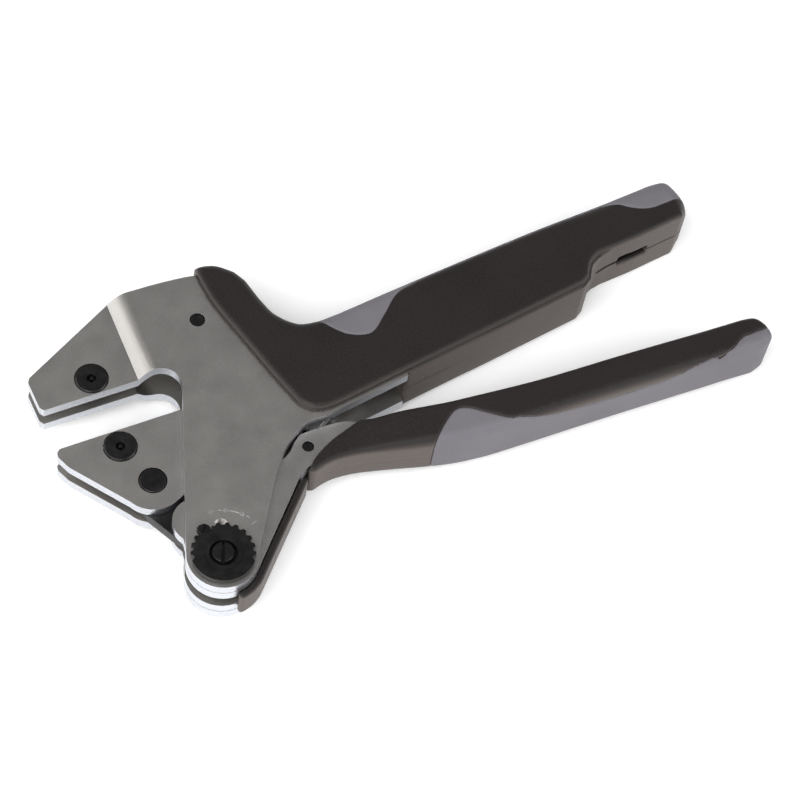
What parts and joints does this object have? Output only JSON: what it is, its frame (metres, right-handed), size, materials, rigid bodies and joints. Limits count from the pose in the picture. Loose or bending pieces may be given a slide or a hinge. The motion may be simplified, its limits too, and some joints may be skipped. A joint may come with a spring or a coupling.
{
  "type": "crimping tool",
  "caption": "Hand crimping tool for interchangeable dies: toggle-driven moving jaw, ratchet lever, notched adjusting wheel and moulded black and grey handles, shown without dies.",
  "frame": {"origin": "bottom centre of the whole tool's box, with the tool lying on its back face", "axes": "+X along the fixed handle, from the jaws to the handle's end; +Y across the tool, from the moving handle to the fixed jaw; +Z out of the front face, where the adjusting wheel is"},
  "size_m": [0.1956, 0.0998, 0.0211],
  "materials": {
    "steel": "stamped sheet steel with a fine satin grain and a faint brown cast",
    "bright_steel": "hardened and ground, brighter than the plates",
    "black_oxide": "black oxide, slightly oily",
    "spring_steel": "drawn spring wire",
    "black_plastic": "brownish black, fine moulded texture",
    "grey_grip": "soft mid-grey inlay, matt"
  },
  "bodies": {
    "frame": {"frame_plate_front": "steel", "frame_plate_back": "steel", "frame_spacer_pin": "black_oxide", "jaw_pivot_pin": "steel", "tang_rivet_1": "steel", "tang_rivet_2": "steel", "rack_pin_1": "steel", "rack_pin_2": "steel", "ratchet_rack": "bright_steel", "opening_spring": "spring_steel", "handle_shell_front": "black_plastic", "handle_shell_back": "black_plastic", "handle_grip_inlay": "grey_grip"},
    "adjuster": {"adjusting_wheel": "black_oxide", "eccentric_bolt": "black_oxide", "bolt_retaining_clip": "black_oxide"},
    "lock_screw": {"lock_screw": "black_oxide"},
    "upper_die_screw": {"upper_die_screw": "black_oxide"},
    "lower_die_screw": {"lower_die_screw": "black_oxide"},
    "moving_jaw": {"jaw_plate_front": "steel", "jaw_plate_back": "steel", "link_pin": "black_oxide", "jaw_spacer": "steel", "jaw_rivet_1": "steel", "jaw_rivet_2": "steel"},
    "link": {"toggle_link": "black_oxide"},
    "lever": {"lever_plate_front": "steel", "lever_plate_back": "steel", "toggle_pin": "black_oxide", "pawl_pin": "black_oxide", "lever_rivet_1": "steel", "lever_rivet_2": "steel", "lever_spine": "black_plastic", "pawl_spring": "spring_steel", "lever_grip_front": "black_plastic", "lever_grip_back": "black_plastic", "lever_grip_inlay": "grey_grip"},
    "pawl": {"ratchet_pawl": "black_oxide"}
  },
  "joints": [
    {"name": "lever_swing", "type": "hinge", "parent": "frame", "child": "lever", "pos_m": [-0.07551, -0.03275, 0.0103], "axis": [0, 0, 1], "range_deg": [-24, 4.2]},
    {"name": "jaw_swing", "type": "hinge", "parent": "frame", "child": "moving_jaw", "pos_m": [-0.02851, 0.0105, 0.0103], "axis": [0, 0, 1], "range_deg": [-0.6, 3.4]},
    {"name": "link_swing", "type": "hinge", "parent": "moving_jaw", "child": "link", "pos_m": [-0.07941, -0.0035, 0.0103], "axis": [0, 0, 1], "range_deg": [-2.5, 14]},
    {"name": "pawl_swing", "type": "hinge", "parent": "lever", "child": "pawl", "pos_m": [-0.03791, -0.0147, 0.0103], "axis": [0, 0, 1], "range_deg": [0, 18], "stiffness_Nm_per_rad": 0.01, "springref_deg": -20.05},
    {"name": "adjuster_turn", "type": "hinge", "parent": "frame", "child": "adjuster", "pos_m": [-0.07551, -0.033, 0.0103], "axis": [0, 0, 1], "range_deg": [-68, 85]},
    {"name": "lock_screw_turn", "type": "hinge", "parent": "frame", "child": "lock_screw", "pos_m": [-0.07621, -0.0244, 0.0103], "axis": [0, 0, 1], "range_deg": [0, 360]},
    {"name": "upper_die_screw_turn", "type": "hinge", "parent": "frame", "child": "upper_die_screw", "pos_m": [-0.07821, 0.0316, 0.0103], "axis": [0, 0, 1], "range_deg": [0, 360]},
    {"name": "lower_die_screw_turn", "type": "hinge", "parent": "moving_jaw", "child": "lower_die_screw", "pos_m": [-0.08181, 0.0096, 0.0103], "axis": [0, 0, 1], "range_deg": [0, 360]}
  ],
  "couplings": [
    {"joint": "jaw_swing", "follows": "lever_swing", "ratio": -0.1377},
    {"joint": "link_swing", "follows": "lever_swing", "ratio": -0.578}
  ]
}
